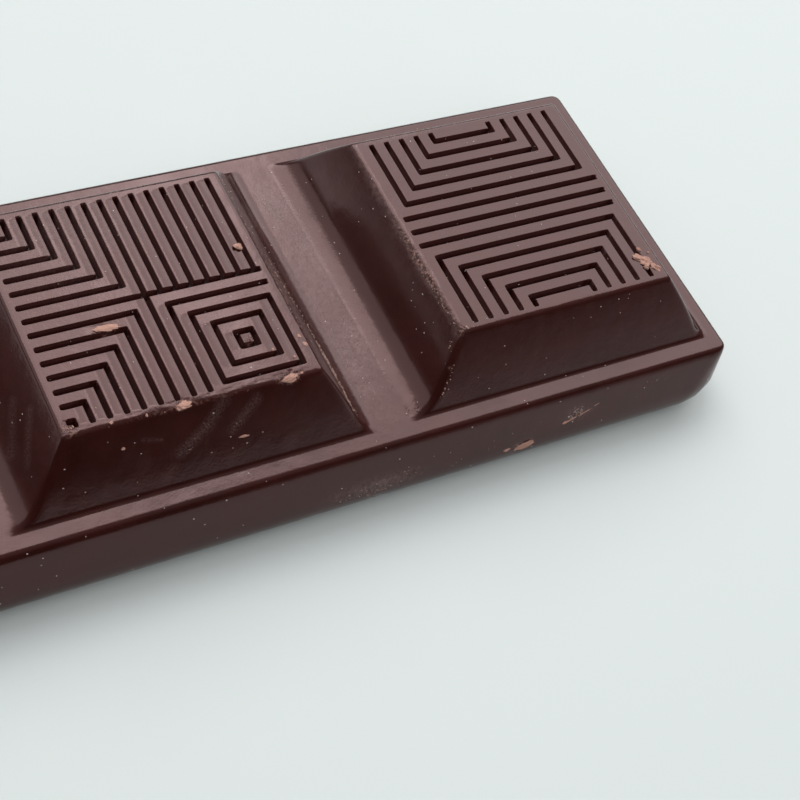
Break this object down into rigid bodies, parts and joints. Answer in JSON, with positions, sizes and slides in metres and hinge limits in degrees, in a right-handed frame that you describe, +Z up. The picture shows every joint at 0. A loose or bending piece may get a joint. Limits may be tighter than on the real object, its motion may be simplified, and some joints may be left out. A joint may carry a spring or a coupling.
{
  "type": "chocolate bar",
  "caption": "Moulded dark chocolate bar: a flat slab with one row of raised square pads whose tops carry grooved line patterns.",
  "frame": {"origin": "centre of the flat underside that the bar rests on", "axes": "+X along the row of pads, +Y to the bar's far long side, +Z up through the pads"},
  "size_m": [0.1096, 0.037, 0.0127],
  "materials": {
    "dark_chocolate": "satin moulded chocolate"
  },
  "bodies": {
    "root": {"chocolate_bar": "dark_chocolate"}
  },
  "joints": []
}
